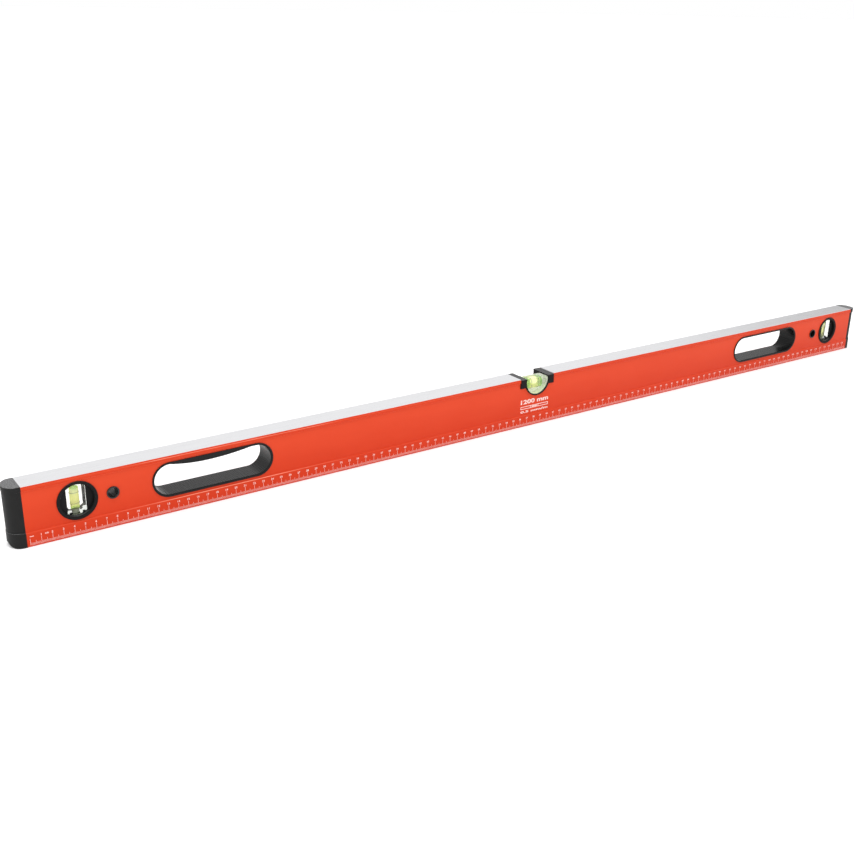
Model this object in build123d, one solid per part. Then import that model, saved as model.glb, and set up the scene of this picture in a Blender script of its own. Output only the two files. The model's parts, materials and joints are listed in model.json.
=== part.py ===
from build123d import *
import os

# A 1200 mm box-section spirit level: hollow extrusion, two lined hand holes, two hanging holes,
# a centre vial read from the front and the top, and a plumb vial near each end.
# Millimetres. X runs along the level, Y through its thickness (the scale is on the -Y face),
# Z up. The origin is the middle of the base.

# ---- the whole level ----
LENGTH = 1200.0
HEIGHT = 59.0
THICKNESS = 26.5
CAP_DEPTH = 14.0
SECTION_LENGTH = LENGTH - 2 * CAP_DEPTH
HALF_LENGTH = SECTION_LENGTH / 2
HALF_THICKNESS = THICKNESS / 2
FIT = 0.05  # gap round a piece that is pushed into its place

# ---- the extrusion's section ----
SIDE_WALL = 1.6
DECK_WALL = 2.2
RECESS = 1.0  # the painted webs lie this far behind the bands above and below them
WEB_FACE = HALF_THICKNESS - RECESS
LOWER_BAND_TOP = 13.6
LEDGE = 0.8
UPPER_BAND_BOTTOM = 54.4
UPPER_STEP = 0.5
BEVEL_BOTTOM = 56.6
BEVEL = 0.5
EDGE_CHAMFER = 0.3
CAVITY_WIDTH = 2 * (WEB_FACE - SIDE_WALL)
CAVITY_HEIGHT = HEIGHT - 2 * DECK_WALL
CAVITY_ROUND = 1.2

# ---- trim that is sunk into the webs ----
TRIM_FACE = HALF_THICKNESS - 0.1
HOLE_Z = 34.35

# ---- hand holes and their liners ----
HAND_X = 404.3
HAND_LENGTH = 126.0
HAND_HEIGHT = 35.3
HAND_RIM = 1.0
LINER_INSET = HAND_RIM + FIT  # from the rim's outline to the barrel's
HAND_LINER_WALL = 1.2
HAND_EDGE_ROUND = 1.1
LAP_DEPTH = 3.0
LAP_WALL = 0.5
BULGE_START_X = -449.0
BULGE_LOW_X = -412.0
BULGE_END_X = -365.0
BULGE_SAG = 3.9

# ---- hanging holes and their bushes ----
BUSH_X = 505.0
BUSH_RIM_RADIUS = 6.0
BUSH_OUTER_RADIUS = 5.45
BUSH_BORE_RADIUS = 4.7
BUSH_CHAMFER = 0.4

# ---- plumb vials and their holders ----
PLUMB_X = 538.0
BEZEL_RADIUS = 18.8
HOLDER_RADIUS = 17.55
WINDOW_RADIUS = 15.6
BEZEL_CHAMFER = 0.7
CHEEK_FACE = 9.75
CHEEK_GAP = 9.0
PLUMB_BLOCK_WIDTH = 20.6
PLUMB_BLOCK_THICKNESS = 16.5
BLOCK_SEAT = PLUMB_BLOCK_THICKNESS / 2 + FIT
PLUMB_BORE_RADIUS = 4.3
PLUMB_BORE_TOP = 10.5
PLUMB_BORE_BOTTOM = -11.5
PLUMB_PLUG_RADIUS = 3.4
CLAW_X = 6.0
CLAW_WIDTH = 2.2
CLAW_TOP = -12.4
SCREW_X = 12.9
SCREW_RADIUS = 1.08
SCREW_HEAD_RADIUS = 2.1
SCREW_HEAD_HEIGHT = 1.3
SCREW_TIP = -5.2
SCREW_TIP_GAP = 0.2
SHANK_CLEARANCE = 0.2
HEAD_CLEARANCE = 0.15
CROSS_LENGTH = 2.6
CROSS_WIDTH = 0.6
CROSS_DEPTH = 0.75

# ---- centre vial and its holder ----
TUNNEL_Z = 54.0
TUNNEL_RADIUS = 17.6
TUNNEL_WINDOW_RADIUS = 16.2
EAR_REACH = 24.4
EAR_BOTTOM = 47.8
EAR_FACE = HALF_THICKNESS + 0.6  # the ears stand a little proud of the faces
EAR_BACK = HALF_THICKNESS - 2.0
STRIP_TOP = HEIGHT - 0.8  # the frame stays below the milled top
LEG_WIDTH = 4.0
LEG_SET_IN = 1.0
LEG_THICKNESS = 1.2
LEG_BOTTOM = 42.0
BLOCK_TOP = 57.4
BLOCK_CORNER = 2.6
BLOCK_FRONT = 0.6 - HALF_THICKNESS
BLOCK_BACK = 0.3
BACK_LIP = 1.2
CENTRE_BORE_X = -2.0  # the plug at the right-hand end pushes the bore to the left
CENTRE_BORE_Y = -6.15
CENTRE_BORE_Z = 50.3
CENTRE_BORE_RADIUS = 5.4
CENTRE_BORE_HALF = 10.5
CENTRE_PLUG_RADIUS = 3.0

# ---- what the vials hold ----
BARREL_SAG = 0.15  # each bore is this much narrower at its ends than in its middle
BORE_END_ROUND = 1.0
PLUG_HOLE_LENGTH = 10.0  # runs out through the round side of the block
PLUG_SET_BACK = 0.3  # the plug ends this far inside the window's radius
LIQUID_GAP = 0.05
RING_SPACING = 5.3  # from the middle of the bore to each reading ring
RING_WIDTH = 0.35
RING_GAP = 0.04
RING_WALL = 0.35
GROOVE_OVERLAP = 0.5  # how far the cut for a ring's groove reaches into the bore
BUBBLE_GAP = 0.1
BUBBLE_TO_WALL = 0.3
CENTRE_BUBBLE = (5.0, 4.2, 3.2)
CENTRE_BUBBLE_RISE = 2.3
PLUMB_BUBBLE = (3.4, 3.4, 4.0)
PLUMB_BUBBLE_Z = 6.2

# ---- end plugs and end caps ----
PLUG_LENGTH = 24.0
PLUG_GAP = 0.1
PLUG_WALL = 1.8
PLUG_RIBS_Z = (18.0, 41.0)
PLATE_THICKNESS = 2.0
STUD_Z = (16.0, 43.0)
STUD_RADIUS = 2.4
STUD_LENGTH = 4.5
STUD_HEAD_RADIUS = 3.2
STUD_TIP_RADIUS = 1.8
STUD_HEAD_LENGTH = 2.4
CAP_STRAIGHT = 1.5
CAP_CORNER = 6.0
CAP_TOP_ROUND = 0.8
CAP_NOSE_STEP = 0.3  # at its nose the cap's web lies only this far behind its bands


def wall_plane(y):
    """A plane facing the front, on which a sketch's x and y are the level's X and Z."""
    return Plane(origin=(0, y, 0), x_dir=(1, 0, 0), z_dir=(0, -1, 0))


def through(sketch, y_low, y_high):
    """Extrude a sketch drawn in X and Z through the thickness, from y_low to y_high."""
    return extrude(wall_plane(y_high) * sketch, amount=y_high - y_low)


def block(x_low, x_high, y_low, y_high, z_low, z_high):
    """An upright box between the given limits."""
    low_corner = Align.MIN, Align.MIN, Align.MIN
    box = Box(x_high - x_low, y_high - y_low, z_high - z_low, align=low_corner)
    return Pos(x_low, y_low, z_low) * box


def to_back(part):
    """The same piece facing the back of the level."""
    return mirror(part, about=Plane.XZ)


def to_left(part):
    """The same piece at the left end of the level."""
    return mirror(part, about=Plane.YZ)


def save(name, part):
    """Write one node."""
    export_step(part, f"parts/{name}.step")


# ---------------------------------------------------------------- the extrusion


def section_profile():
    """Outer outline of the extrusion: proud bands top and bottom, recessed webs between them."""
    right = [
        (HALF_THICKNESS - EDGE_CHAMFER, 0),
        (HALF_THICKNESS, EDGE_CHAMFER),
        (HALF_THICKNESS, LOWER_BAND_TOP),
        (WEB_FACE, LOWER_BAND_TOP + LEDGE),
        (WEB_FACE, UPPER_BAND_BOTTOM - UPPER_STEP),
        (HALF_THICKNESS, UPPER_BAND_BOTTOM),
        (HALF_THICKNESS, BEVEL_BOTTOM),
        (HALF_THICKNESS - BEVEL, HEIGHT - EDGE_CHAMFER),
        (HALF_THICKNESS - BEVEL - EDGE_CHAMFER, HEIGHT),
    ]
    left = [(-y, z) for y, z in reversed(right)]
    return make_face(Polyline(*right, *left, close=True))


def along_section(sketch, x_low, x_high):
    """Extrude a sketch drawn in Y and Z along the level."""
    return extrude(Plane.YZ.offset(x_low) * sketch, amount=x_high - x_low)


def hand_slot(centre_x, inset):
    """A hand hole's outline in X and Z, drawn in by inset."""
    slot = SlotOverall(HAND_LENGTH - 2 * inset, HAND_HEIGHT - 2 * inset)
    return Pos(centre_x, HOLE_Z) * slot


def box_section():
    """The painted extrusion with every hole that is cut in it."""
    outside = along_section(section_profile(), -HALF_LENGTH, HALF_LENGTH)
    cavity = RectangleRounded(CAVITY_WIDTH, CAVITY_HEIGHT, CAVITY_ROUND)
    inside = along_section(Pos(0, HEIGHT / 2) * cavity, -HALF_LENGTH, HALF_LENGTH)
    holes = [
        through(hand_slot(HAND_X, HAND_RIM), -HALF_THICKNESS, HALF_THICKNESS),
        through(Pos(BUSH_X, HOLE_Z) * Circle(BUSH_OUTER_RADIUS + FIT), -HALF_THICKNESS, HALF_THICKNESS),
        through(Pos(PLUMB_X, HOLE_Z) * Circle(HOLDER_RADIUS + FIT), -HALF_THICKNESS, HALF_THICKNESS),
    ]
    section = outside - inside
    for hole in holes:
        section = section - hole - to_left(hole)
    reach = EAR_REACH + FIT
    notch = block(-reach, reach, -THICKNESS, THICKNESS, EAR_BOTTOM - FIT, 2 * HEIGHT)
    bay = through(Pos(0, TUNNEL_Z) * Circle(TUNNEL_RADIUS + FIT), -HALF_THICKNESS, HALF_THICKNESS)
    return section - notch - bay


# ---------------------------------------------------------------- hand-hole liners


def bulge():
    """The swelling that hangs from the top of the left hand hole, as an outline in X and Z."""
    top = HOLE_Z + HAND_HEIGHT / 2 - HAND_RIM
    edge = HOLE_Z + HAND_HEIGHT / 2 - LINER_INSET - HAND_LINER_WALL
    low = (BULGE_LOW_X, edge - BULGE_SAG)
    left_arc = TangentArc(low, (BULGE_START_X, edge), tangent=(-1, 0))
    right_arc = TangentArc(low, (BULGE_END_X, edge), tangent=(1, 0))
    roof = Polyline((BULGE_START_X, edge), (BULGE_START_X, top), (BULGE_END_X, top), (BULGE_END_X, edge))
    return make_face([left_arc, right_arc, roof])


def liner_front(centre_x, with_bulge):
    """Front half of a hand-hole liner, with the tongue that laps into the back half."""
    rim = hand_slot(centre_x, 0)
    barrel = hand_slot(centre_x, LINER_INSET)
    opening = hand_slot(centre_x, LINER_INSET + HAND_LINER_WALL)
    tongue = barrel - hand_slot(centre_x, LINER_INSET + LAP_WALL)
    if with_bulge:
        opening = opening - bulge()
    half = through(rim - opening, -TRIM_FACE, -WEB_FACE) + through(barrel - opening, -WEB_FACE, 0)
    mouth = [
        edge
        for edge in half.edges().filter_by_position(Axis.Y, -TRIM_FACE, -TRIM_FACE)
        if max(abs(v.Z - HOLE_Z) for v in edge.vertices()) < HAND_HEIGHT / 2 - HAND_RIM
    ]
    half = fillet(mouth, HAND_EDGE_ROUND)
    return half + through(tongue, 0, LAP_DEPTH)


def liner_back(front, centre_x):
    """Back half of a hand-hole liner: the front half turned round, rebated for its tongue."""
    rebate = hand_slot(centre_x, HAND_RIM) - hand_slot(centre_x, LINER_INSET + LAP_WALL + FIT)
    plain = front - block(-LENGTH, LENGTH, 0, THICKNESS, 0, HEIGHT)
    return to_back(plain) - through(rebate, 0, LAP_DEPTH + FIT)


# ---------------------------------------------------------------- hanging holes


def bush_front():
    """Front half of the bush in the right-hand hanging hole."""
    centre = Pos(BUSH_X, HOLE_Z)
    rim = through(centre * Circle(BUSH_RIM_RADIUS), -TRIM_FACE, -WEB_FACE)
    barrel = through(centre * Circle(BUSH_OUTER_RADIUS), -WEB_FACE, 0)
    bore = through(centre * Circle(BUSH_BORE_RADIUS), -TRIM_FACE, 0)
    bush = rim + barrel - bore
    mouth = bush.edges().filter_by(GeomType.CIRCLE).group_by(Axis.Y)[0].sort_by(SortBy.RADIUS)[0]
    return chamfer(mouth, BUSH_CHAMFER)


# ---------------------------------------------------------------- plumb vials


def plumb_holder_front():
    """Front half of a plumb-vial holder: bezel, barrel, the cheeks that grip the block, two claws."""
    centre = Pos(PLUMB_X, HOLE_Z)
    bezel = through(centre * Circle(BEZEL_RADIUS), -TRIM_FACE, -WEB_FACE)
    barrel = through(centre * Circle(HOLDER_RADIUS), -WEB_FACE, 0)
    window = through(centre * Circle(WINDOW_RADIUS), -TRIM_FACE, 0)
    shell = bezel + barrel - window
    mouth = shell.edges().filter_by(GeomType.CIRCLE).group_by(Axis.Y)[0].sort_by(SortBy.RADIUS)[0]
    shell = chamfer(mouth, BEZEL_CHAMFER)
    disc = Circle(WINDOW_RADIUS + FIT)
    lip = through(centre * (disc - Rectangle(2 * CHEEK_GAP, THICKNESS * 2)), -CHEEK_FACE, -BLOCK_SEAT)
    seat = PLUMB_BLOCK_WIDTH + 2 * FIT
    cheek = through(centre * (disc - Rectangle(seat, THICKNESS * 2)), -BLOCK_SEAT, 0)
    holder = shell + lip + cheek
    for side in (-1, 1):
        claw = Pos(side * CLAW_X, 0) * Rectangle(CLAW_WIDTH, 2 * WINDOW_RADIUS) & disc
        claw = claw & Pos(0, CLAW_TOP - WINDOW_RADIUS) * Rectangle(2 * WINDOW_RADIUS, 2 * WINDOW_RADIUS)
        holder = holder + through(centre * claw, -CHEEK_FACE, -BLOCK_SEAT)
    return holder


def on_screw_axis(side, radius, y_low, y_high):
    """A cylinder on the axis of one of the two screws of the right-hand plumb holder."""
    return through(Pos(PLUMB_X + side * SCREW_X, HOLE_Z) * Circle(radius), y_low, y_high)


def plumb_screws():
    """The two self-tapping screws of the right-hand plumb holder, driven from the back."""
    seat = CHEEK_FACE - SCREW_HEAD_HEIGHT
    screws = Part()
    for side in (-1, 1):
        head = on_screw_axis(side, SCREW_HEAD_RADIUS, seat, CHEEK_FACE - FIT)
        shank = on_screw_axis(side, SCREW_RADIUS, SCREW_TIP, seat)
        across = Rectangle(CROSS_LENGTH, CROSS_WIDTH) + Rectangle(CROSS_WIDTH, CROSS_LENGTH)
        centre = Pos(PLUMB_X + side * SCREW_X, HOLE_Z)
        cross = through(centre * across, CHEEK_FACE - FIT - CROSS_DEPTH, CHEEK_FACE)
        screws = screws + (head + shank - cross)
    return screws


def vial_bore(radius, half, offset):
    """A bore along Z, a little wider in its middle, from offset - half to offset + half."""
    end = radius - BARREL_SAG
    wall = ThreePointArc((end, offset - half), (radius, offset), (end, offset + half))
    rest = Polyline((end, offset + half), (0, offset + half), (0, offset - half), (end, offset - half))
    bore = revolve(Plane.XZ * make_face([wall, rest]), axis=Axis.Z)
    rims = bore.edges().filter_by(GeomType.CIRCLE).filter_by(lambda edge: abs(edge.radius - end) < FIT)
    return fillet(rims, BORE_END_ROUND)


def ring_pair(bore_radius, offset):
    """The two reading rings round a bore along Z, and the grooves they lie in."""
    inner = bore_radius + RING_GAP
    outer = inner + RING_WALL
    rings = Circle(outer) - Circle(inner)
    grooves = Circle(outer + RING_GAP) - Circle(bore_radius - GROOVE_OVERLAP)
    pairs = []
    for sketch, width in ((rings, RING_WIDTH), (grooves, RING_WIDTH + RING_GAP)):
        band = extrude(sketch, amount=width / 2, both=True)
        pairs.append(Pos(0, 0, offset + RING_SPACING) * band + Pos(0, 0, offset - RING_SPACING) * band)
    return pairs


def end_plug_of_bore(radius, start, direction):
    """The filler plug of a bore along Z, and the hole it is glued in, from start outwards."""
    middle = Pos(0, 0, start + direction * PLUG_HOLE_LENGTH / 2)
    plug = middle * Cylinder(radius, PLUG_HOLE_LENGTH)
    hole = middle * Cylinder(radius + RING_GAP, PLUG_HOLE_LENGTH)
    return plug, hole


def ellipsoid(half_sizes, grow=0.0):
    """An egg-shaped solid about the origin."""
    return scale(Sphere(1), by=tuple(size + grow for size in half_sizes))


def plumb_vial():
    """Pieces of a plumb vial about its own bore centre, standing upright."""
    half = (PLUMB_BORE_TOP - PLUMB_BORE_BOTTOM) / 2
    middle = (PLUMB_BORE_TOP + PLUMB_BORE_BOTTOM) / 2
    bore = vial_bore(PLUMB_BORE_RADIUS, half, middle)
    outline = Circle(WINDOW_RADIUS - 2 * FIT) & Rectangle(PLUMB_BLOCK_WIDTH, 2 * WINDOW_RADIUS)
    body = through(outline, -PLUMB_BLOCK_THICKNESS / 2, PLUMB_BLOCK_THICKNESS / 2)
    plug, plug_hole = end_plug_of_bore(PLUMB_PLUG_RADIUS, PLUMB_BORE_BOTTOM, -1)
    plug = plug & through(Circle(WINDOW_RADIUS - PLUG_SET_BACK), -THICKNESS, THICKNESS)
    rings, grooves = ring_pair(PLUMB_BORE_RADIUS, middle)
    fill = vial_bore(PLUMB_BORE_RADIUS - LIQUID_GAP, half - LIQUID_GAP, middle)
    bubble = Pos(0, 0, PLUMB_BUBBLE_Z) * ellipsoid(PLUMB_BUBBLE)
    pocket = Pos(0, 0, PLUMB_BUBBLE_Z) * ellipsoid(PLUMB_BUBBLE, BUBBLE_GAP)
    return {
        "block": body - bore - plug_hole - grooves,
        "liquid": fill - pocket,
        "plug": plug,
        "rings": rings,
        "bubble": bubble,
    }


# ---------------------------------------------------------------- centre vial


def centre_holder():
    """Black frame of the centre vial: round tunnel, ears on both faces, strips across the top."""
    window = Pos(0, TUNNEL_Z) * Circle(TUNNEL_WINDOW_RADIUS)
    above = Pos(0, STRIP_TOP + LENGTH / 2) * Rectangle(LENGTH, LENGTH)
    tunnel = through(Pos(0, TUNNEL_Z) * Circle(TUNNEL_RADIUS) - above, -EAR_FACE, EAR_FACE)
    ear_front = block(-EAR_REACH, EAR_REACH, -EAR_FACE, -EAR_BACK, EAR_BOTTOM, STRIP_TOP)
    strips = block(-EAR_REACH, EAR_REACH, -EAR_FACE, EAR_FACE, HEIGHT - DECK_WALL, STRIP_TOP)
    frame = tunnel + ear_front + to_back(ear_front) + strips
    leg_face = CAVITY_WIDTH / 2 - FIT
    leg_end = EAR_REACH - LEG_SET_IN
    leg = block(
        leg_end - LEG_WIDTH, leg_end, -leg_face, LEG_THICKNESS - leg_face, LEG_BOTTOM, HEIGHT - DECK_WALL
    )
    for piece in (leg, to_back(leg), to_left(leg), to_left(to_back(leg))):
        frame = frame + piece
    frame = frame - through(window, -THICKNESS, THICKNESS)
    lip_ring = Circle(TUNNEL_WINDOW_RADIUS + FIT) - Circle(TUNNEL_WINDOW_RADIUS - BACK_LIP)
    lip_ring = Pos(0, TUNNEL_Z) * lip_ring - above
    lip = through(lip_ring, BLOCK_BACK + FIT, BLOCK_BACK + FIT + BACK_LIP)
    return frame + lip


def centre_vial():
    """Pieces of the centre vial in place; its bore lies along the level."""
    lay = Pos(CENTRE_BORE_X, CENTRE_BORE_Y, CENTRE_BORE_Z) * Rot(0, 90, 0)
    above = Pos(0, BLOCK_TOP + LENGTH / 2) * Rectangle(LENGTH, LENGTH)
    outline = Pos(0, TUNNEL_Z) * Circle(TUNNEL_WINDOW_RADIUS - 2 * FIT) - above
    outline = fillet(outline.vertices(), BLOCK_CORNER)
    body = through(outline, BLOCK_FRONT, BLOCK_BACK)
    bore = lay * vial_bore(CENTRE_BORE_RADIUS, CENTRE_BORE_HALF, 0)
    plug, plug_hole = end_plug_of_bore(CENTRE_PLUG_RADIUS, CENTRE_BORE_HALF, 1)
    trimmed = Pos(0, TUNNEL_Z) * Circle(TUNNEL_WINDOW_RADIUS - PLUG_SET_BACK)
    plug = lay * plug & through(trimmed, -THICKNESS, THICKNESS)
    rings, grooves = ring_pair(CENTRE_BORE_RADIUS, 0)
    fill = lay * vial_bore(CENTRE_BORE_RADIUS - LIQUID_GAP, CENTRE_BORE_HALF - LIQUID_GAP, 0)
    rise = Pos(CENTRE_BORE_X, CENTRE_BORE_Y, CENTRE_BORE_Z + CENTRE_BUBBLE_RISE)
    bubble = rise * ellipsoid(CENTRE_BUBBLE)
    bubble = bubble & lay * Cylinder(CENTRE_BORE_RADIUS - BUBBLE_TO_WALL, 2 * CENTRE_BORE_HALF)
    pocket_radius = CENTRE_BORE_RADIUS - BUBBLE_TO_WALL + BUBBLE_GAP
    pocket = rise * ellipsoid(CENTRE_BUBBLE, BUBBLE_GAP) & lay * Cylinder(pocket_radius, 2 * CENTRE_BORE_HALF)
    return {
        "block": body - bore - lay * plug_hole - lay * grooves,
        "liquid": fill - pocket,
        "plug": plug,
        "rings": lay * rings,
        "bubble": bubble,
    }


# ---------------------------------------------------------------- ends


def stud(z, gap):
    """One mushroom stud on which the right-hand cap snaps, drawn larger by gap for its socket."""
    along = Pos(HALF_LENGTH, 0, z) * Rot(0, 90, 0)
    bottom = (Align.CENTER, Align.CENTER, Align.MIN)
    stem = Cylinder(STUD_RADIUS + gap, STUD_LENGTH, align=bottom)
    head = Cone(STUD_HEAD_RADIUS + gap, STUD_TIP_RADIUS + gap, STUD_HEAD_LENGTH + gap, align=bottom)
    return along * (stem + Pos(0, 0, STUD_LENGTH - gap) * head)


def end_plug():
    """Ribbed insert in the right-hand end of the extrusion, closed by a plate with studs for the cap."""
    width = CAVITY_WIDTH - 2 * PLUG_GAP
    height = CAVITY_HEIGHT - 2 * PLUG_GAP
    start = HALF_LENGTH - PLUG_LENGTH
    plate = Pos(0, HEIGHT / 2) * RectangleRounded(width, height, CAVITY_ROUND)
    hollow = Pos(0, HEIGHT / 2) * Rectangle(width - 2 * PLUG_WALL, height - 2 * PLUG_WALL)
    plug = along_section(plate - hollow, start, HALF_LENGTH)
    plug = plug + along_section(plate, HALF_LENGTH - PLATE_THICKNESS, HALF_LENGTH)
    for z in PLUG_RIBS_Z:
        rib = Pos(0, z) * Rectangle(width - PLUG_WALL, PLUG_WALL)
        plug = plug + along_section(rib, start, HALF_LENGTH)
    for z in STUD_Z:
        plug = plug + stud(z, 0)
    return plug


def cap_plan(half, depth):
    """D-shaped plan of the right-hand cap: a short straight, then half an ellipse."""
    bend = HALF_LENGTH + CAP_STRAIGHT
    nose = EllipticalCenterArc((bend, 0), depth - CAP_STRAIGHT, half, start_angle=-90, arc_size=180)
    sides = Polyline((bend, half), (HALF_LENGTH, half), (HALF_LENGTH, -half), (bend, -half))
    return make_face([nose, sides])


def end_cap():
    """Shock-absorbing cap at the right-hand end, stepped like the extrusion."""
    outer = along_section(section_profile(), HALF_LENGTH, LENGTH / 2)
    cap = outer & extrude(cap_plan(HALF_THICKNESS, CAP_DEPTH), amount=HEIGHT)
    web = extrude(cap_plan(WEB_FACE, CAP_DEPTH - CAP_NOSE_STEP), amount=HEIGHT)
    band = block(
        HALF_LENGTH, LENGTH / 2, -THICKNESS, THICKNESS, LOWER_BAND_TOP + LEDGE, UPPER_BAND_BOTTOM - UPPER_STEP
    )
    cap = cap - (band - web)
    side_view = Pos(HALF_LENGTH + CAP_DEPTH / 2, HEIGHT / 2) * Rectangle(CAP_DEPTH, HEIGHT)
    outer_end = side_view.vertices().group_by(Axis.X)[-1].sort_by(Axis.Y)
    side_view = fillet(outer_end[0], CAP_CORNER)
    top_corner = side_view.vertices().group_by(Axis.X)[-1].sort_by(Axis.Y)[-1]
    side_view = fillet(top_corner, CAP_TOP_ROUND)
    cap = cap & through(side_view, -THICKNESS, THICKNESS)
    for z in STUD_Z:
        cap = cap - stud(z, FIT)
    return cap


# ---------------------------------------------------------------- write the nodes

os.makedirs("parts", exist_ok=True)

save("box_section", box_section())

for side_name, centre_x in (("left", -HAND_X), ("right", HAND_X)):
    liner = liner_front(centre_x, with_bulge=side_name == "left")
    save(f"hand_liner_{side_name}_front", liner)
    save(f"hand_liner_{side_name}_back", liner_back(liner, centre_x))

holder_front = plumb_holder_front()
holder_back = to_back(holder_front)
for side in (-1, 1):
    pilot = on_screw_axis(side, SCREW_RADIUS + FIT, SCREW_TIP - SCREW_TIP_GAP, 0)
    clearance = on_screw_axis(side, SCREW_RADIUS + SHANK_CLEARANCE, 0, CHEEK_FACE)
    head_seat = CHEEK_FACE - SCREW_HEAD_HEIGHT
    sinking = on_screw_axis(side, SCREW_HEAD_RADIUS + HEAD_CLEARANCE, head_seat, CHEEK_FACE)
    holder_front = holder_front - pilot
    holder_back = holder_back - clearance - sinking

end_pieces = {
    "end_cap_{}": end_cap(),
    "end_plug_{}": end_plug(),
    "hang_bush_{}_front": bush_front(),
    "hang_bush_{}_back": to_back(bush_front()),
    "plumb_holder_{}_front": holder_front,
    "plumb_holder_{}_back": holder_back,
    "plumb_screws_{}": plumb_screws(),
}
for name, piece in plumb_vial().items():
    end_pieces["plumb_" + name + "_{}"] = Pos(PLUMB_X, 0, HOLE_Z) * piece
for pattern, piece in end_pieces.items():
    save(pattern.format("right"), piece)
    save(pattern.format("left"), to_left(piece))

save("centre_holder", centre_holder())
for name, piece in centre_vial().items():
    save(f"centre_{name}", piece)
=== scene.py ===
"""Looks of a 1200 mm spirit level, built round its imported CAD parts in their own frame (metres)."""

import json
from math import copysign, cos, exp, log, pi, radians, sin, sqrt

import bmesh
import bpy
from mathutils import Euler, Matrix, Vector


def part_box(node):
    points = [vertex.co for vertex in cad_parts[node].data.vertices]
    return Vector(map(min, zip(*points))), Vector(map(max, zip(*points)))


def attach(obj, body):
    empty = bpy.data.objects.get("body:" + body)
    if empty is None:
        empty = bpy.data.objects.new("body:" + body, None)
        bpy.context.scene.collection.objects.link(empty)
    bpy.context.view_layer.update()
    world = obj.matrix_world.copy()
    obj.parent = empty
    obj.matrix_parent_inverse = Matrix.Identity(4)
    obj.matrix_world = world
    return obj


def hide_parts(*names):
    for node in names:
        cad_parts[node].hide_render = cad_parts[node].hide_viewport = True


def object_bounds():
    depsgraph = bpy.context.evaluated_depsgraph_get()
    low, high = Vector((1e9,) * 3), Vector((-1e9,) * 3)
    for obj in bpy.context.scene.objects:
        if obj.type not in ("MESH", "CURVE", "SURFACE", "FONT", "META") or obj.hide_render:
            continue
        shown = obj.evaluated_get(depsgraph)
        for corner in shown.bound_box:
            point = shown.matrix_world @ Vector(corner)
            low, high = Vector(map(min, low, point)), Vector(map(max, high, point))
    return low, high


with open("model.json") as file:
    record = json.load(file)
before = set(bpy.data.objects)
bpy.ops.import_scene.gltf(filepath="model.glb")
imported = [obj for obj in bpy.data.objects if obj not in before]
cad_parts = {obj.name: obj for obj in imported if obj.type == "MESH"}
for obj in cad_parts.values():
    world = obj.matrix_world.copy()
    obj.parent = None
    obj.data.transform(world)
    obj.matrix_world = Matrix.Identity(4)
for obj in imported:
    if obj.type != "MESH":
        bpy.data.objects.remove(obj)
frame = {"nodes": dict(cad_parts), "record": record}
nodes = frame["nodes"]
cad_low, cad_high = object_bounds()

MM = 0.001
SIDES = {"left": -1, "right": 1}

# ---- places that repeat the CAD's own sizes ----
section_low, section_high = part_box("box_section")
FACE_Y = section_low.y  # the proud bands of the front face
TOP_Z = section_high.z
PAINT_DEPTH = 12.1 * MM  # what lies nearer the middle plane than this is inside the section
BARE_EDGE = 0.32 * MM  # the milled chamfers beside the base and the top
PLUMB_X = 538 * MM
PLUMB_Z = 34.35 * MM
PLUMB_BORE = (4.3 * MM, -11.5 * MM, 10.5 * MM)  # radius, lower end and upper end
PLUMB_BUBBLE = (3.4 * MM, 3.4 * MM, 4.0 * MM)
PLUMB_BUBBLE_Z = 6.2 * MM
CENTRE_BORE = (5.4 * MM, -10.5 * MM, 10.5 * MM)
CENTRE_AXIS = Vector((-2 * MM, -6.15 * MM, 50.3 * MM))
CENTRE_BUBBLE = (5 * MM, 4.2 * MM, 3.2 * MM)
CENTRE_BUBBLE_RISE = 2.3 * MM
BORE_SAG = 0.15 * MM  # how much narrower a bore is at its ends than in its middle
BORE_ROUND = 1.0 * MM


# ---------------------------------------------------------------- finishes


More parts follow.
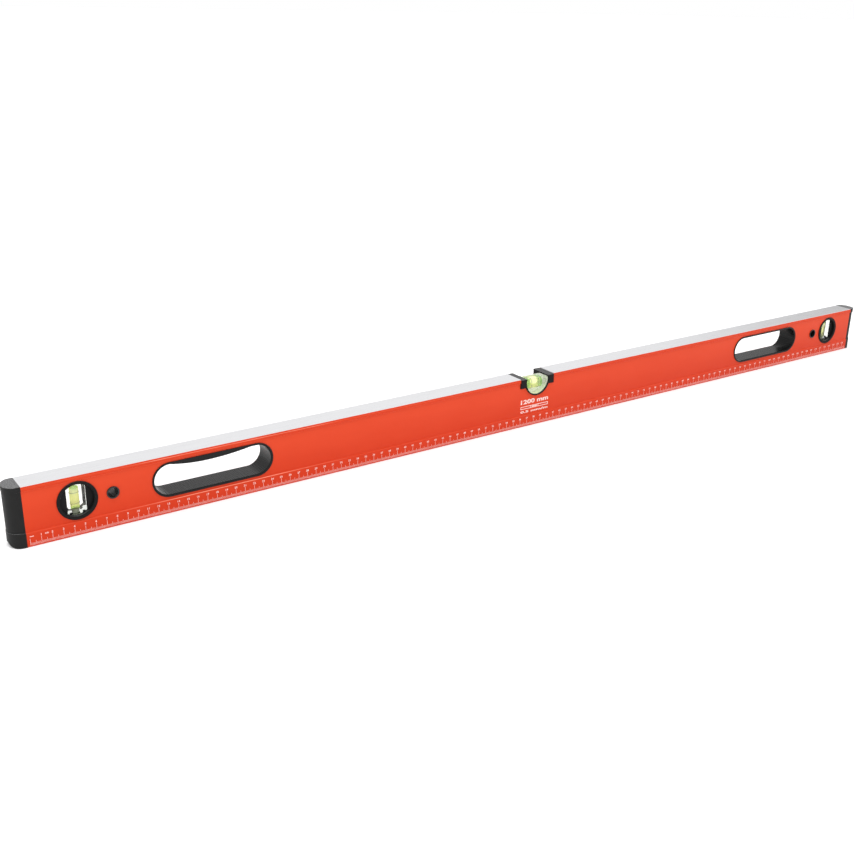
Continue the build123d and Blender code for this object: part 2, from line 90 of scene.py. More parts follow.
class Finish:
    """One procedural material while it is put together. Its noises are laid in object space, in mm."""

    def __init__(self, name, uniform):
        self.material = bpy.data.materials.new(name)
        self.material.use_nodes = True
        self.tree = self.material.node_tree
        self.shader = next(n for n in self.tree.nodes if n.type == "BSDF_PRINCIPLED")
        for socket, value in uniform.items():
            self.shader.inputs[socket].default_value = value
        place = self.tree.nodes.new("ShaderNodeTexCoord").outputs["Object"]
        scaled = self.node("ShaderNodeVectorMath", {0: place, 1: (1 / MM,) * 3}, operation="MULTIPLY")
        self.place = scaled.outputs[0]

    def node(self, kind, inputs, **settings):
        """A node with its settings made and its inputs set, or linked where a socket is given."""
        made = self.tree.nodes.new(kind)
        for name, value in settings.items():
            setattr(made, name, value)
        for key, value in inputs.items():
            if isinstance(value, bpy.types.NodeSocket):
                self.tree.links.new(value, made.inputs[key])
            else:
                made.inputs[key].default_value = value
        return made

    def maths(self, operation, a, b=0.0, c=0.0):
        return self.node("ShaderNodeMath", {0: a, 1: b, 2: c}, operation=operation).outputs[0]

    def axes(self):
        """The X, Y and Z of a point, in mm."""
        return self.node("ShaderNodeSeparateXYZ", {0: self.place}).outputs[:3]

    def noise(self, per_mm, detail):
        """A noise with this many features to the mm along X, Y and Z."""
        spread = self.node("ShaderNodeVectorMath", {0: self.place, 1: per_mm}, operation="MULTIPLY")
        inputs = {"Vector": spread.outputs[0], "Scale": 1.0, "Detail": detail}
        return self.node("ShaderNodeTexNoise", inputs).outputs[0]

    def ranged(self, value, low, high, start=0.3, end=0.7):
        """A value between start and end stretched to run from low to high."""
        inputs = {"Value": value, "From Min": start, "From Max": end, "To Min": low, "To Max": high}
        return self.node("ShaderNodeMapRange", inputs).outputs[0]

    def mixed(self, share, first, second):
        """The first value where share is 0 and the second where it is 1."""
        return self.node("ShaderNodeMix", {0: share, 2: first, 3: second}, data_type="FLOAT").outputs[0]

    def colours(self, share, first, second):
        """The first colour where share is 0 and the second where it is 1."""
        mix = self.node("ShaderNodeMix", {0: share}, data_type="RGBA")
        for index, colour in ((6, first), (7, second)):
            if isinstance(colour, bpy.types.NodeSocket):
                self.tree.links.new(colour, mix.inputs[index])
            else:
                mix.inputs[index].default_value = (*colour, 1.0)
        return mix.outputs[2]

    def relief(self, height, depth_mm, strength=1.0):
        """Bump from a height between 0 and 1."""
        inputs = {"Height": height, "Distance": depth_mm * MM, "Strength": strength}
        self.drive("Normal", self.node("ShaderNodeBump", inputs).outputs[0])

    def drive(self, socket, value):
        self.tree.links.new(value, self.shader.inputs[socket])


def section_finish():
    """Red powder coat on the outer faces of the extrusion, bare milled aluminium elsewhere."""
    f = Finish("section_finish", {"Specular IOR Level": 0.18})
    x, y, z = f.axes()

    outside = f.maths("GREATER_THAN", f.maths("ABSOLUTE", y), PAINT_DEPTH / MM)
    over_base = f.maths("GREATER_THAN", z, BARE_EDGE / MM)
    under_top = f.maths("LESS_THAN", z, (TOP_Z - BARE_EDGE) / MM)
    paint = f.maths("MULTIPLY", f.maths("MULTIPLY", outside, over_base), under_top)

    drift = f.ranged(f.noise((0.012, 0.05, 0.05), detail=2.0), -0.12, 0.12)
    # Painted shade: the red is darker towards the base and lighter upwards, with a random drift in its
    # tone.
    coat = f.maths("ADD", f.ranged(z, 0, 1, *PAINTED_LIGHT_RISE_Z), drift)
    # Painted shade: the band beside the top is darker.
    upper_band_shade = f.ranged(z, 0, 0.7, *UPPER_BAND_SHADE_Z)
    red = f.colours(f.maths("SUBTRACT", coat, upper_band_shade), RED_IN_SHADE, RED_IN_LIGHT)
    # Painted highlight: light lines along the crests of the steps, broken by noise and fading away from
    # one place along the level.
    highlight_breaks = f.ranged(f.noise((0.02, 0.5, 0.5), detail=2.0), 0.3, 1)
    from_highlight_middle = f.maths("ABSOLUTE", f.maths("SUBTRACT", x, HIGHLIGHT_MIDDLE_X))
    thin = f.maths("MULTIPLY", highlight_breaks, f.ranged(from_highlight_middle, 1, 0.12, *HIGHLIGHT_FADE_REACH))
    for height in HIGHLIGHT_LINE_Z:
        beside = f.maths("ABSOLUTE", f.maths("SUBTRACT", z, height))
        line = f.maths("MULTIPLY", f.ranged(beside, 1, 0, *HIGHLIGHT_LINE_REACH), thin)
        red = f.colours(line, red, RED_HIGHLIGHT)

    brushed = f.noise((0.03, 3.2, 3.2), detail=4.0)
    speckle = f.noise((2.2, 2.2, 2.2), detail=2.0)
    sheen = f.maths("MULTIPLY_ADD", brushed, 0.6, f.maths("MULTIPLY", speckle, 0.4))
    silver = f.colours(f.ranged(sheen, 0, 1), SILVER_DARK, SILVER_LIGHT)

    f.drive("Base Color", f.colours(paint, silver, red))
    f.drive("Metallic", f.maths("SUBTRACT", 1.0, paint))
    peel = f.noise((1.6, 1.6, 1.6), detail=2.0)  # the coat's orange peel
    f.drive("Roughness", f.mixed(paint, f.ranged(brushed, 0.26, 0.42), f.ranged(peel, 0.36, 0.46)))
    f.relief(f.mixed(paint, sheen, peel), 0.012, 0.5)
    return f.material


def grained_finish(name, colour, lighter, roughness, grains_per_mm, depth_mm, uniform, top_light=None):
    """Moulded rubber or plastic with a fine grain, and, where it faces up, speckled painted light that
    lightens the top.
    """
    f = Finish(name, uniform)
    grain = f.noise((grains_per_mm,) * 3, detail=4.0)
    patches = f.noise((0.15,) * 3, detail=2.0)
    tone = f.colours(f.ranged(grain, 0, 1), colour, lighter)
    # Painted light: faces that look up are lightened in specks.
    if top_light:
        normal = f.tree.nodes.new("ShaderNodeNewGeometry").outputs["Normal"]
        up = f.node("ShaderNodeSeparateXYZ", {0: normal}).outputs[2]
        specks = f.noise((1.1,) * 3, detail=3.0)
        lies = f.ranged(up, 0, 1, 0.75, 0.97)
        lit_top = f.maths("MULTIPLY", lies, f.ranged(specks, 0.25, 1.15, 0.38, 0.62))
        tone = f.colours(lit_top, tone, top_light)
    f.drive("Base Color", tone)
    grainy = f.ranged(grain, roughness - 0.1, roughness)
    f.drive("Roughness", f.maths("MULTIPLY_ADD", patches, 0.12, grainy))
    f.relief(grain, depth_mm)
    return f.material


def streaked_finish(name, colour, lighter, roughness, uniform):
    """Glossy moulded plastic with faint flow lines drawn through the thickness of the level."""
    f = Finish(name, uniform)
    streaks = f.noise((1.4, 0.05, 1.4), detail=3.0)
    ripples = f.noise((0.25, 0.12, 0.25), detail=2.0)
    f.drive("Base Color", f.colours(f.ranged(streaks, 0, 1), colour, lighter))
    f.drive("Roughness", f.ranged(streaks, roughness - 0.06, roughness + 0.06))
    f.relief(f.maths("ADD", f.maths("MULTIPLY", streaks, 0.3), ripples), 0.06)
    return f.material


def clear_finish(name, tint, cloudy_tint, roughness):
    """Polished clear acrylic with a faint greenish cloud in it."""
    f = Finish(name, {"Transmission Weight": 1.0, "IOR": ACRYLIC_IOR})
    cloud = f.noise((0.3, 0.3, 0.3), detail=2.0)
    f.drive("Base Color", f.colours(f.ranged(cloud, 0, 1), tint, cloudy_tint))
    f.drive("Roughness", f.ranged(cloud, 0.0, roughness))
    return f.material


def frosted_back_finish(name, axis_z, radius, back_y, tint, frost_and_glow):
    """Clear acrylic whose round side and back are frosted, so that the vial in it reads bright. The
    whole block glows faintly in the frosted colour: painted light.
    """
    # Painted light: the whole block glows faintly.
    f = Finish(name, {"IOR": ACRYLIC_IOR, "Emission Color": (*frost_and_glow, 1), "Emission Strength": 0.08})
    x, y, z = f.axes()
    rise = f.maths("SUBTRACT", z, axis_z / MM)
    out = f.maths("SQRT", f.maths("ADD", f.maths("MULTIPLY", x, x), f.maths("MULTIPLY", rise, rise)))
    side = f.maths("GREATER_THAN", out, radius / MM - 0.06)
    back = f.maths("GREATER_THAN", y, back_y / MM - 0.02)
    frosted = f.maths("MAXIMUM", side, back)
    cloud = f.ranged(f.noise((0.5, 0.5, 0.5), detail=3.0), 0, 1)
    darker = tuple(0.88 * c for c in frost_and_glow)
    f.drive("Base Color", f.colours(frosted, tint, f.colours(cloud, darker, frost_and_glow)))
    f.drive("Transmission Weight", f.maths("SUBTRACT", 1.0, frosted))
    f.drive("Roughness", f.maths("MULTIPLY", frosted, 0.6))
    return f.material


def liquid_finish(name, axis, start, end, green, fringe):
    """Fluorescent yellow-green liquid, greener within a fringe (in mm) at both ends of its bore as
    painted shade, not the liquid's own colour. It also glows faintly: painted light.
    """
    f = Finish(name, {
        "Transmission Weight": 0.7, "IOR": LIQUID_IOR, "Roughness": 0.02,
        # Painted light: the liquid glows faintly.
        "Emission Color": (*LIQUID_GLOW, 1), "Emission Strength": 0.04,
    })
    along = f.axes()[axis]
    middle = (start + end) / 2 / MM
    half = (end - start) / 2 / MM
    away = f.maths("ABSOLUTE", f.maths("SUBTRACT", along, middle))
    swirl = f.ranged(f.noise((0.4, 0.4, 0.4), detail=2.0), -0.5, 0.5)
    yellow_to = half - fringe
    # Painted shade: greener towards both ends of the bore.
    end_shade_share = f.ranged(f.maths("ADD", away, swirl), 0, 1, yellow_to, yellow_to + FRINGE_FADE)
    f.drive("Base Color", f.colours(end_shade_share, LIQUID_YELLOW, green))
    return f.material


def steel_finish():
    """Zinc-plated screw heads, faintly turned."""
    f = Finish("steel_finish", {"Metallic": 1.0})
    turned_marks = f.noise((3.0, 3.0, 3.0), detail=4.0)
    f.drive("Base Color", f.colours(f.ranged(turned_marks, 0, 1), ZINC_DARK, ZINC_LIGHT))
    f.drive("Roughness", f.ranged(turned_marks, 0.25, 0.45))
    f.relief(turned_marks, 0.02, 0.6)
    return f.material


def ink_finish():
    """White printing ink, thin enough for the red to show through in places."""
    f = Finish("ink_finish", {"Roughness": 0.5, "Specular IOR Level": 0.3})
    cover = f.noise((1.1, 1.1, 1.1), detail=4.0)
    f.drive("Base Color", f.colours(f.ranged(cover, 0, 1, 0.25, 0.55), INK_THIN, INK_FULL))
    f.relief(cover, 0.01)
    return f.material


# Places and reaches on a surface are in mm here, as they are inside the finishes.
# The red in painted shade and in painted light, mixed by height.
RED_IN_SHADE = (0.545, 0.031, 0.003)
RED_IN_LIGHT = (0.628, 0.050, 0.012)
RED_HIGHLIGHT = (0.80, 0.27, 0.18)  # painted highlight along the crests of the steps
# Heights in mm over which painted light lifts the red out of painted shade.
PAINTED_LIGHT_RISE_Z = (8.0, 48.0)
UPPER_BAND_SHADE_Z = (54.2, 55.0)  # the step up to the band beside the top, darkened as painted shade
HIGHLIGHT_LINE_Z = (13.7, 57.0)
HIGHLIGHT_LINE_REACH = (0.12, 0.42)
HIGHLIGHT_MIDDLE_X = -385.0  # the middle of the painted highlight lines, at the left hand hole
HIGHLIGHT_FADE_REACH = (70, 130)
SILVER_DARK = (0.72, 0.72, 0.735)
SILVER_LIGHT = (0.91, 0.91, 0.925)
ZINC_DARK = (0.42, 0.42, 0.43)
ZINC_LIGHT = (0.66, 0.66, 0.67)
LIQUID_YELLOW = (0.93, 0.93, 0.36)
LIQUID_GLOW = (0.80, 0.82, 0.20)
# The liquid's colour in the painted shade at the ends of its bores.
CENTRE_END_SHADE = (0.27, 0.68, 0.05)
PLUMB_END_SHADE = (0.42, 0.68, 0.12)
CENTRE_FRINGE = 3.8
PLUMB_FRINGE = 3.0
FRINGE_FADE = 1.8
INK_FULL = (0.80, 0.66, 0.63)
INK_THIN = (0.74, 0.40, 0.34)

BLACK = (0.012, 0.012, 0.013)
BLACK_WORN = (0.030, 0.030, 0.031)
DEEP_BLACK = (0.005, 0.005, 0.005)
STREAK_BLACK = (0.010, 0.010, 0.010)
GRAIN_BLACK = (0.011, 0.011, 0.011)

ACRYLIC_IOR = 1.49
LIQUID_IOR = 1.03  # against the clear block round it, which has no bore of its own
BUBBLE_IOR = 1.10

finishes = {
    "painted_section": section_finish(),
    "cap_rubber": grained_finish(
        "rubber_finish", (0.004, 0.004, 0.004), GRAIN_BLACK, 0.6, 2.4, 0.05,
        {"Specular IOR Level": 0.2, "Sheen Weight": 0.1, "Sheen Roughness": 0.35},
        top_light=(0.17, 0.17, 0.172),
    ),
    "plug_plastic": grained_finish("plug_finish", BLACK, BLACK_WORN, 0.5, 1.5, 0.02, {}),
    "liner_plastic": streaked_finish(
        "liner_finish", DEEP_BLACK, STREAK_BLACK, 0.27, {"Specular IOR Level": 0.16}
    ),
    "bush_plastic": streaked_finish(
        "bush_finish", DEEP_BLACK, STREAK_BLACK, 0.24, {"Specular IOR Level": 0.4}
    ),
    "vial_frame": grained_finish(
        "frame_finish", DEEP_BLACK, GRAIN_BLACK, 0.52, 3.0, 0.03,
        {"Specular IOR Level": 0.1}, top_light=(0.10, 0.10, 0.10),
    ),
    "vial_acrylic": clear_finish("acrylic_finish", (0.88, 0.89, 0.87), (0.83, 0.87, 0.80), 0.015),
    "vial_plug": grained_finish(
        "stopper_finish", (0.50, 0.58, 0.40), (0.66, 0.72, 0.54), 0.35, 1.2, 0.01,
        {"Transmission Weight": 0.35},
    ),
    "reading_ring": grained_finish(
        "ring_finish", (0.01, 0.01, 0.01), (0.02, 0.02, 0.02), 0.5, 3.0, 0.01, {}
    ),
    "bubble": grained_finish(
        "bubble_finish", (0.90, 0.93, 0.84), (0.97, 0.98, 0.95), 0.08, 0.4, 0.0,
        {
            "Transmission Weight": 0.45, "IOR": BUBBLE_IOR,
            # Painted light: the bubble glows a little, pale blue-white.
            "Emission Color": (0.8, 0.85, 1, 1), "Emission Strength": 0.35,
        },
    ),
    "screw_steel": steel_finish(),
    "ink": ink_finish(),
}
centre_liquid_finish = liquid_finish(
    "centre_liquid_finish", 0, CENTRE_AXIS.x + CENTRE_BORE[1], CENTRE_AXIS.x + CENTRE_BORE[2],
    CENTRE_END_SHADE, CENTRE_FRINGE,
)
plumb_liquid_finish = liquid_finish(
    "plumb_liquid_finish", 2, PLUMB_Z + PLUMB_BORE[1], PLUMB_Z + PLUMB_BORE[2],
    PLUMB_END_SHADE, PLUMB_FRINGE,
)

for row in frame["record"]["subparts"]:
    if row["material_slot"] in finishes:
        target = nodes[row["node"]]
        target.data.materials.clear()
        target.data.materials.append(finishes[row["material_slot"]])


# ---------------------------------------------------------------- pieces


def add_piece(name, bm, finish, body="level", smooth_below=35):
    """A finished bmesh as a piece that rides on a CAD body."""
    bmesh.ops.recalc_face_normals(bm, faces=bm.faces)
    if bm.calc_volume(signed=True) < 0:
        bmesh.ops.reverse_faces(bm, faces=bm.faces)
    mesh = bpy.data.meshes.new(name)
    bm.to_mesh(mesh)
    bm.free()
    mesh.shade_smooth()
    mesh.set_sharp_from_angle(angle=radians(smooth_below))
    mesh.materials.append(finish)
    piece = bpy.data.objects.new(name, mesh)
    bpy.context.scene.collection.objects.link(piece)
    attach(piece, body)
    return piece


POINTS_APART = 0.05 * MM  # the points of an outline that fall closer together than this are one
ROUND_STEPS = 6  # facets along the rounding at the end of a bore
BUBBLE_GAP = 0.3 * MM  # between a bubble and the wall of its bore
BUBBLE_EASE = 0.35 * MM  # how softly a bubble flattens against that wall


def disc_outline(radius, limit_x, limit_z, corner, steps=180):
    """A circle's outline in X and Z, cut off by flats at limit_x on both sides and at limit_z above.

    It is the outline of a smaller shape grown by corner, so its corners are rounded to that radius.
    """
    inner = radius - corner
    flat_x, flat_z = min(limit_x - corner, inner), min(limit_z - corner, inner)
    outline = []
    for k in range(steps):
        turn = 2 * pi * (k + 0.5) / steps
        across, up = cos(turn), sin(turn)
        x, z = inner * across, inner * up
        if abs(x) > flat_x:
            x, z = copysign(flat_x, across), copysign(sqrt(inner**2 - flat_x**2), up)
        if z > flat_z:
            x, z = copysign(sqrt(inner**2 - flat_z**2), across), flat_z
        point = (x + corner * across, z + corner * up)
        if not outline or (Vector(point) - Vector(outline[-1])).length > POINTS_APART:
            outline.append(point)
    return outline


def clear_block(outline, centre, y_low, y_high, edge):
    """A closed clear block with polished, slightly rounded edges, extruded through the level."""
    bm = bmesh.new()
    rim = [bm.verts.new((centre.x + x, y_low, centre.z + z)) for x, z in outline]
    face = bm.faces.new(rim)
    grown = bmesh.ops.extrude_face_region(bm, geom=[face])["geom"]
    far = [v for v in grown if isinstance(v, bmesh.types.BMVert)]
    bmesh.ops.translate(bm, verts=far, vec=(0, y_high - y_low, 0))
    bmesh.ops.recalc_face_normals(bm, faces=bm.faces)
    sharp = [e for e in bm.edges if e.calc_face_angle(0) > radians(20)]
    bmesh.ops.bevel(bm, geom=sharp, offset=edge, segments=3, profile=0.5, affect="EDGES")
    return bm


def barrel_filling(radius, low, high, steps=24, around=72):
    """What fills a barrel-shaped bore with rounded ends, standing on Z."""
    middle, half = (low + high) / 2, (high - low) / 2
    end_radius = radius - BORE_SAG
    rounding = []
    for k in range(ROUND_STEPS + 1):
        turn = k * pi / (2 * ROUND_STEPS)
        inwards, upwards = BORE_ROUND * (1 - sin(turn)), BORE_ROUND * (1 - cos(turn))
        rounding.append((end_radius - inwards, -half + upwards))
    barrel = []
    for k in range(1, steps):
        height = (half - BORE_ROUND) * (2 * k / steps - 1)
        barrel.append((radius - BORE_SAG * (height / half) ** 2, height))
    profile = rounding + barrel + [(r, -h) for r, h in reversed(rounding)]
    bm = bmesh.new()
    turns = [2 * pi * k / around for k in range(around)]
    rings = [[bm.verts.new((r * cos(t), r * sin(t), middle + h)) for t in turns] for r, h in profile]
    for lower, upper in zip(rings, rings[1:]):
        for k in range(around):
            bm.faces.new((lower[k - 1], lower[k], upper[k], upper[k - 1]))
    bm.faces.new(rings[0])
    bm.faces.new(rings[-1])
    return bm


def soft_limit(value, limit, softness):
    """The value, eased so that it never passes the limit."""
    return -softness * log(exp(-value / softness) + exp(-limit / softness))


def air_bubble(half_sizes, rise, bore_radius, along):
    """An air bubble beside the wall of its bore, which lies along one axis, round the bore's middle."""
    bm = bmesh.new()
    bmesh.ops.create_icosphere(bm, subdivisions=5, radius=1.0)
    across = [axis for axis in range(3) if axis != along]
    for vertex in bm.verts:
        place = Vector(c * h for c, h in zip(vertex.co, half_sizes)) + rise
        out = sqrt(sum(place[a] ** 2 for a in across))
        if out > 0:
            ease = soft_limit(out, bore_radius - BUBBLE_GAP, BUBBLE_EASE) / out
            for a in across:
                place[a] *= max(ease, 0.0)
        vertex.co = place
    return bm


def moved(bm, matrix):
    bmesh.ops.transform(bm, matrix=matrix, verts=bm.verts)
    return bm


CENTRE_BLOCK_CORNER = 2.6 * MM
PLUMB_BLOCK_CORNER = 0.4 * MM
BLOCK_EDGE = 0.3 * MM
BLOCK_SMOOTH_BELOW = 10  # degrees: the round side is smooth, and the flats and their edges stay crisp

centre_low, centre_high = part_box("centre_block")
centre_radius = (centre_high.x - centre_low.x) / 2
tunnel_middle = Vector((0, 0, centre_low.z + centre_radius))
centre_block_finish = frosted_back_finish(
    "centre_acrylic_finish", tunnel_middle.z, centre_radius, centre_high.y,
    tint=(0.96, 0.97, 0.93), frost_and_glow=(0.90, 0.92, 0.84),
)
outline = disc_outline(
    centre_radius, centre_radius, centre_high.z - tunnel_middle.z, CENTRE_BLOCK_CORNER
)
block = add_piece(
    "centre_clear_block",
    clear_block(outline, tunnel_middle, centre_low.y, centre_high.y, BLOCK_EDGE),
    centre_block_finish,
    smooth_below=BLOCK_SMOOTH_BELOW,
)
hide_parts("centre_block")
lay_down = Matrix.Translation(CENTRE_AXIS) @ Matrix.Rotation(pi / 2, 4, "Y")
liquid = add_piece(
    "centre_liquid_fill",
    moved(barrel_filling(*CENTRE_BORE), lay_down),
    centre_liquid_finish,
)
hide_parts("centre_liquid")
bubble_shape = air_bubble(CENTRE_BUBBLE, Vector((0, 0, CENTRE_BUBBLE_RISE)), CENTRE_BORE[0], along=0)
bubble = add_piece(
    "centre_air_bubble",
    moved(bubble_shape, Matrix.Translation(CENTRE_AXIS)),
    finishes["bubble"],
    body="centre_bubble",
)
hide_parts("centre_bubble")

for name, side in SIDES.items():
    low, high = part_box(f"plumb_block_{name}")
    middle = Vector((side * PLUMB_X, 0, PLUMB_Z))
    radius = (high.z - low.z) / 2
    outline = disc_outline(radius, (high.x - low.x) / 2, radius, PLUMB_BLOCK_CORNER)
    block = add_piece(
        f"plumb_clear_block_{name}",
        clear_block(outline, middle, low.y, high.y, BLOCK_EDGE),
        finishes["vial_acrylic"],
        smooth_below=BLOCK_SMOOTH_BELOW,
    )
    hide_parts(f"plumb_block_{name}")
    stand = Matrix.Translation(middle)
    liquid = add_piece(
        f"plumb_liquid_fill_{name}",
        moved(barrel_filling(*PLUMB_BORE), stand),
        plumb_liquid_finish,
    )
    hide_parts(f"plumb_liquid_{name}")
    bubble_shape = air_bubble(PLUMB_BUBBLE, Vector((0, 0, PLUMB_BUBBLE_Z)), PLUMB_BORE[0], along=2)
    bubble = add_piece(
        f"plumb_air_bubble_{name}",
        moved(bubble_shape, stand),
        finishes["bubble"],
        body=f"plumb_bubble_{name}",
    )
    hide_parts(f"plumb_bubble_{name}")


# ---------------------------------------------------------------- printing

INK = 0.03 * MM  # how far the ink stands proud of the face
INK_ROOT = 0.02 * MM  # and how far its pieces reach into the paint, so that they are closed solids
SCALE_ZERO = -583.2 * MM
SCALE_MM = 1167
TICK_FOOT = 1.5 * MM
TICK_WIDTH = 0.25 * MM
TICK_TOPS = {1: 4.0 * MM, 5: 5.6 * MM, 10: 8.4 * MM}
DIGIT_HEIGHT = 2.1 * MM
DIGIT_ADVANCE = 0.74 * DIGIT_HEIGHT
DIGIT_Z = 10.2 * MM
DIGIT_BOLDNESS = 0.022
ZERO_BAR = (3.6 * MM, 0.3 * MM)  # how far the bar at zero reaches, and half its height
UNIT_X = 15 * MM  # the unit stands this far from zero
UNIT_HEIGHT = 1.4 * MM
UNIT_BOLDNESS = 0.012
WEB_Y = -12.25 * MM  # the recessed face that the mark below the centre vial is printed on
MARK_X = -2 * MM
MARK_WIDTH = 41 * MM
MARK_BOLDNESS = 0.03
MARK_LINES = {  # the height of each line and the Z of its middle
    "1200 mm": (5.4 * MM, 30.2 * MM),
    "0.5 mm/m": (2.8 * MM, 18.2 * MM),
}
DRAWN_VIAL = (21.4 * MM, 24.8 * MM)  # the foot and the top of its outline
DRAWN_LINE = 0.7 * MM
DRAWN_RINGS = (-6 * MM, 5.3 * MM)  # where its reading lines start, from its middle
DRAWN_BUBBLE = (4 * MM, 1.1 * MM)  # half its length, and its distance from the outline


def letters(text, height, boldness, width=None):
    """The closed outlines of a text as (points, faces): X along, Y up and Z from 0 to 1 through it."""
    curve = bpy.data.curves.new("letters", "FONT")
    curve.body = text
    curve.align_x = "CENTER"
    curve.align_y = "CENTER"
    curve.resolution_u = 3
    curve.extrude = 0.5
    curve.offset = boldness
    holder = bpy.data.objects.new("letters", curve)
    bpy.context.scene.collection.objects.link(holder)
    bpy.context.view_layer.update()
    evaluated = holder.evaluated_get(bpy.context.evaluated_depsgraph_get())
    drawn = bpy.data.meshes.new_from_object(evaluated)
    across = [v.co.x for v in drawn.vertices]
    upright = [v.co.y for v in drawn.vertices]
    mid_x, mid_y = (max(across) + min(across)) / 2, (max(upright) + min(upright)) / 2
    size_y = height / (max(upright) - min(upright))
    size_x = width / (max(across) - min(across)) if width else size_y
    points = [
        ((v.co.x - mid_x) * size_x, (v.co.y - mid_y) * size_y, v.co.z + 0.5) for v in drawn.vertices
    ]
    faces = [tuple(p.vertices) for p in drawn.polygons]
    bpy.data.objects.remove(holder)
    bpy.data.curves.remove(curve)
    bpy.data.meshes.remove(drawn)
    return points, faces


def print_letters(bm, shape, x, z, face_y):
    """Add letters to a print, standing in X and Z and centred at x and z on a face."""
    points, faces = shape
    root_y, thickness = face_y + INK_ROOT, INK + INK_ROOT
    made = [bm.verts.new((x + px, root_y - pz * thickness, z + py)) for px, py, pz in points]
    for corners in faces:
        bm.faces.new([made[k] for k in corners])


def print_bar(bm, x_low, x_high, z_low, z_high, face_y):
    """Add one printed bar, a thin closed slab on a face."""
    y_low, y_high = face_y - INK, face_y + INK_ROOT
    ring = [(x_low, z_low), (x_high, z_low), (x_high, z_high), (x_low, z_high)]
    front = [bm.verts.new((x, y_low, z)) for x, z in ring]
    back = [bm.verts.new((x, y_high, z)) for x, z in ring]
    bm.faces.new(front)
    bm.faces.new(back[::-1])
    for k in range(4):
        bm.faces.new((front[k], front[k - 1], back[k - 1], back[k]))


def scale_print():
    """The centimetre scale along the front face, with its figures."""
    bm = bmesh.new()
    for k in range(SCALE_MM + 1):
        step = 10 if k % 10 == 0 else 5 if k % 5 == 0 else 1
        x = SCALE_ZERO + k * MM
        print_bar(bm, x - TICK_WIDTH / 2, x + TICK_WIDTH / 2, TICK_FOOT, TICK_TOPS[step], FACE_Y)
    digits = {c: letters(c, DIGIT_HEIGHT, DIGIT_BOLDNESS) for c in "0123456789"}
    for number in range(1, SCALE_MM // 10 + 1):
        text = str(number)
        for place, digit in enumerate(text):
            x = SCALE_ZERO + number * 10 * MM + (place - (len(text) - 1) / 2) * DIGIT_ADVANCE
            print_letters(bm, digits[digit], x, DIGIT_Z, FACE_Y)
    reach, half = ZERO_BAR
    start = SCALE_ZERO - TICK_WIDTH / 2
    print_bar(bm, start, SCALE_ZERO + reach, DIGIT_Z - half, DIGIT_Z + half, FACE_Y)
    print_letters(bm, letters("cm", UNIT_HEIGHT, UNIT_BOLDNESS), SCALE_ZERO + UNIT_X, DIGIT_Z, FACE_Y)
    return bm


def centre_print():
    """A plain mark below the centre vial: the length, a drawn vial and the reading accuracy."""
    bm = bmesh.new()
    for text, (height, z) in MARK_LINES.items():
        print_letters(bm, letters(text, height, MARK_BOLDNESS, MARK_WIDTH), MARK_X, z, WEB_Y)
    left, right = MARK_X - MARK_WIDTH / 2, MARK_X + MARK_WIDTH / 2
    low, high = DRAWN_VIAL
    print_bar(bm, left, right, low, low + DRAWN_LINE, WEB_Y)
    print_bar(bm, left, right, high - DRAWN_LINE, high, WEB_Y)
    for x in (left, *(MARK_X + ring for ring in DRAWN_RINGS), right - DRAWN_LINE):
        print_bar(bm, x, x + DRAWN_LINE, low + DRAWN_LINE, high - DRAWN_LINE, WEB_Y)
    half, inset = DRAWN_BUBBLE
    print_bar(bm, MARK_X - half, MARK_X + half, low + inset, high - inset, WEB_Y)
    return bm


add_piece("scale_print", scale_print(), finishes["ink"])
add_piece("centre_print", centre_print(), finishes["ink"])


# ---------------------------------------------------------------- floor, lights and camera


def floor_finish():
    """A matt, very pale studio floor."""
    f = Finish("floor_finish", {"Roughness": 0.9, "Specular IOR Level": 0.1})
    mottle = f.noise((0.004, 0.004, 0.004), detail=2.0)
    f.drive("Base Color", f.colours(f.ranged(mottle, 0, 1), (0.90, 0.90, 0.90), (0.93, 0.93, 0.93)))
    return f.material


FLOOR_HALF = 60.0
floor_mesh = bpy.data.meshes.new("studio_floor")
corners = [
    (x * FLOOR_HALF, y * FLOOR_HALF, cad_low.z) for x, y in ((-1, -1), (1, -1), (1, 1), (-1, 1))
]
floor_mesh.from_pydata(corners, [], [(0, 1, 2, 3)])
floor_mesh.materials.append(floor_finish())
floor = bpy.data.objects.new("studio_floor", floor_mesh)
bpy.context.scene.collection.objects.link(floor)

# An even white world but for one soft grey patch low behind the right end, so that what the milled
# top reflects greys towards that end.
WORLD_LIGHT = 1.0
WORLD_SHADE = 0.36
SHADE_RISE = radians(20)  # of the patch's middle above the horizon
SHADE_TURN = radians(70)  # and from +Y towards +X
SHADE_RIM = radians(23)
SHADE_CORE = radians(9)

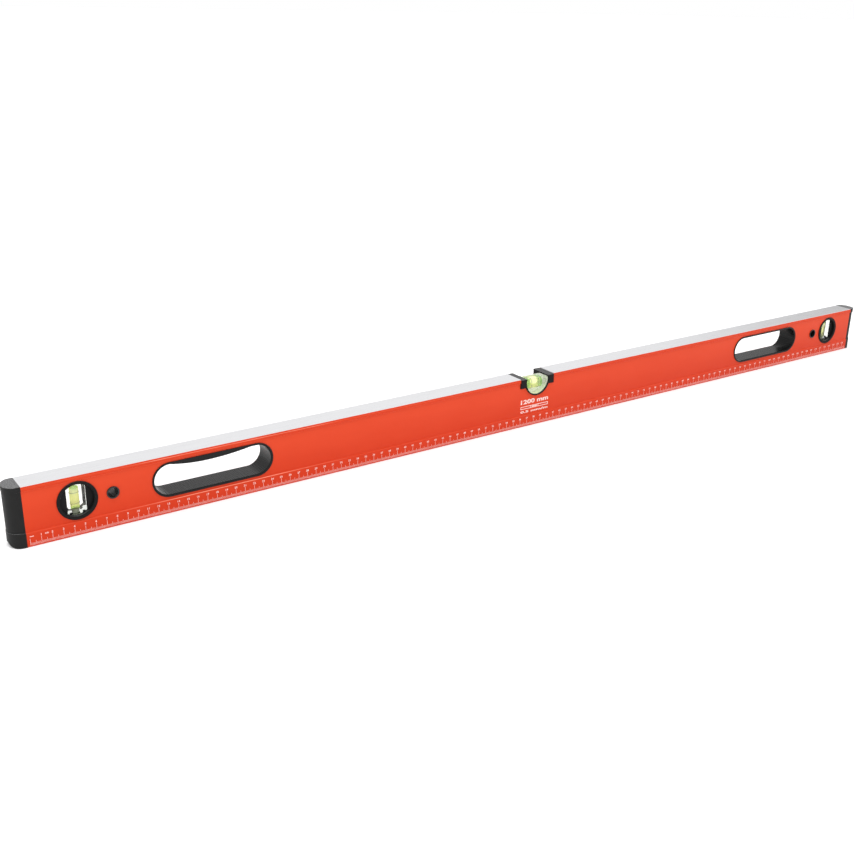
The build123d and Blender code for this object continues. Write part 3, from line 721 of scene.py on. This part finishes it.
world = bpy.data.worlds.new("studio_world")
bpy.context.scene.world = world
world.use_nodes = True
tree = world.node_tree
sky = tree.nodes["Background"]
towards = tree.nodes.new("ShaderNodeTexCoord").outputs["Generated"]
facing = tree.nodes.new("ShaderNodeVectorMath")
facing.operation = "DOT_PRODUCT"
facing.inputs[1].default_value = (
    cos(SHADE_RISE) * sin(SHADE_TURN), cos(SHADE_RISE) * cos(SHADE_TURN), sin(SHADE_RISE)
)
tree.links.new(towards, facing.inputs[0])
lobe = tree.nodes.new("ShaderNodeMapRange")
lobe.interpolation_type = "SMOOTHSTEP"
patch = {
    "From Min": cos(SHADE_RIM), "From Max": cos(SHADE_CORE),
    "To Min": WORLD_LIGHT, "To Max": WORLD_SHADE,
}
for socket, value in patch.items():
    lobe.inputs[socket].default_value = value
tree.links.new(facing.outputs["Value"], lobe.inputs["Value"])
tree.links.new(lobe.outputs[0], sky.inputs["Strength"])
sky.inputs["Color"].default_value = (1.0, 1.0, 1.0, 1.0)

overhead_data = bpy.data.lights.new("overhead_light", "SUN")
overhead_data.energy = 1.9
overhead_data.angle = radians(50)
overhead = bpy.data.objects.new("overhead_light", overhead_data)
overhead.visible_glossy = False  # otherwise its glare turns the milled top as white as the floor
overhead.rotation_euler = Euler((radians(8), 0, 0))
bpy.context.scene.collection.objects.link(overhead)

KEY_PLACE = Vector((-2.2, -1.0, 1.1))
KEY_AIM = Vector((0.1, 0, 0))

key_data = bpy.data.lights.new("key_light", "AREA")
key_data.shape = "RECTANGLE"
key_data.size = 2.4
key_data.size_y = 1.2
key_data.energy = 5.0
key = bpy.data.objects.new("key_light", key_data)
key.location = KEY_PLACE
key.rotation_euler = (KEY_AIM - KEY_PLACE).to_track_quat("-Z", "Y").to_euler()
bpy.context.scene.collection.objects.link(key)

camera_data = bpy.data.cameras.new("camera")
camera_data.sensor_width = 36.0
camera_data.lens = 46.097
camera_data.clip_start = 0.05
camera_data.clip_end = 200.0
camera = bpy.data.objects.new("camera", camera_data)
camera.location = (-0.79071, -0.92999, 0.45788)
camera.rotation_euler = Euler((radians(68.916), radians(-0.966), radians(-34.373)))
bpy.context.scene.collection.objects.link(camera)
bpy.context.scene.camera = camera
bpy.context.scene.view_settings.view_transform = "Standard"
